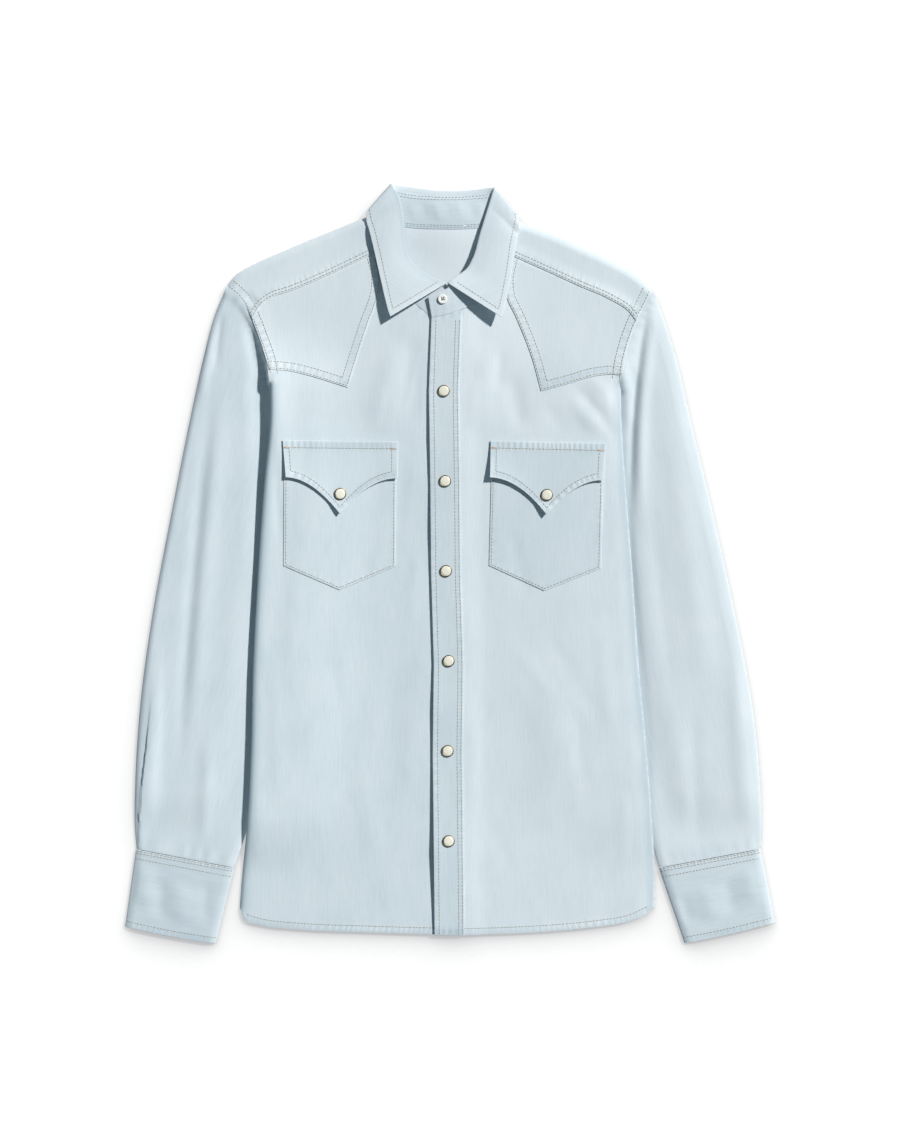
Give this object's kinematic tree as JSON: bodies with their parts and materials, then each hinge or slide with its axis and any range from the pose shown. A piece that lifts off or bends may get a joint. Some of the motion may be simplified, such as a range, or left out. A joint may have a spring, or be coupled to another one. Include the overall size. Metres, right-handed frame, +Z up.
{
  "type": "denim shirt",
  "caption": "Long-sleeved western denim shirt laid flat on its back, with pointed front yokes, flap pockets, a snap-fastened placket, a turned-down collar and barrel cuffs.",
  "frame": {"origin": "on the surface the shirt lies on, under the middle of its outline", "axes": "+Z up from the surface, +Y from the hem to the collar, +X towards the wearer's left"},
  "size_m": [0.6516, 0.7617, 0.0217],
  "materials": {
    "denim": "washed twill, matt",
    "snap_ring": "antique",
    "snap_cap": "pearl",
    "button": "polished"
  },
  "bodies": {
    "root": {"back": "denim", "collar_stand": "denim", "collar_fall": "denim", "placket": "denim", "front_right": "denim", "front_left": "denim", "front_yoke_right": "denim", "front_yoke_left": "denim", "pocket_right": "denim", "pocket_left": "denim", "pocket_flap_right": "denim", "pocket_flap_left": "denim", "sleeve_right": "denim", "sleeve_left": "denim", "cuff_right": "denim", "cuff_left": "denim", "yoke": "denim", "collar_button": "button", "snap_ring_placket_1": "snap_ring", "snap_ring_placket_2": "snap_ring", "snap_ring_placket_3": "snap_ring", "snap_ring_placket_4": "snap_ring", "snap_ring_placket_5": "snap_ring", "snap_ring_placket_6": "snap_ring", "snap_ring_pocket_right": "snap_ring", "snap_ring_pocket_left": "snap_ring", "snap_cap_placket_1": "snap_cap", "snap_cap_placket_2": "snap_cap", "snap_cap_placket_3": "snap_cap", "snap_cap_placket_4": "snap_cap", "snap_cap_placket_5": "snap_cap", "snap_cap_placket_6": "snap_cap", "snap_cap_pocket_right": "snap_cap", "snap_cap_pocket_left": "snap_cap"}
  },
  "joints": []
}
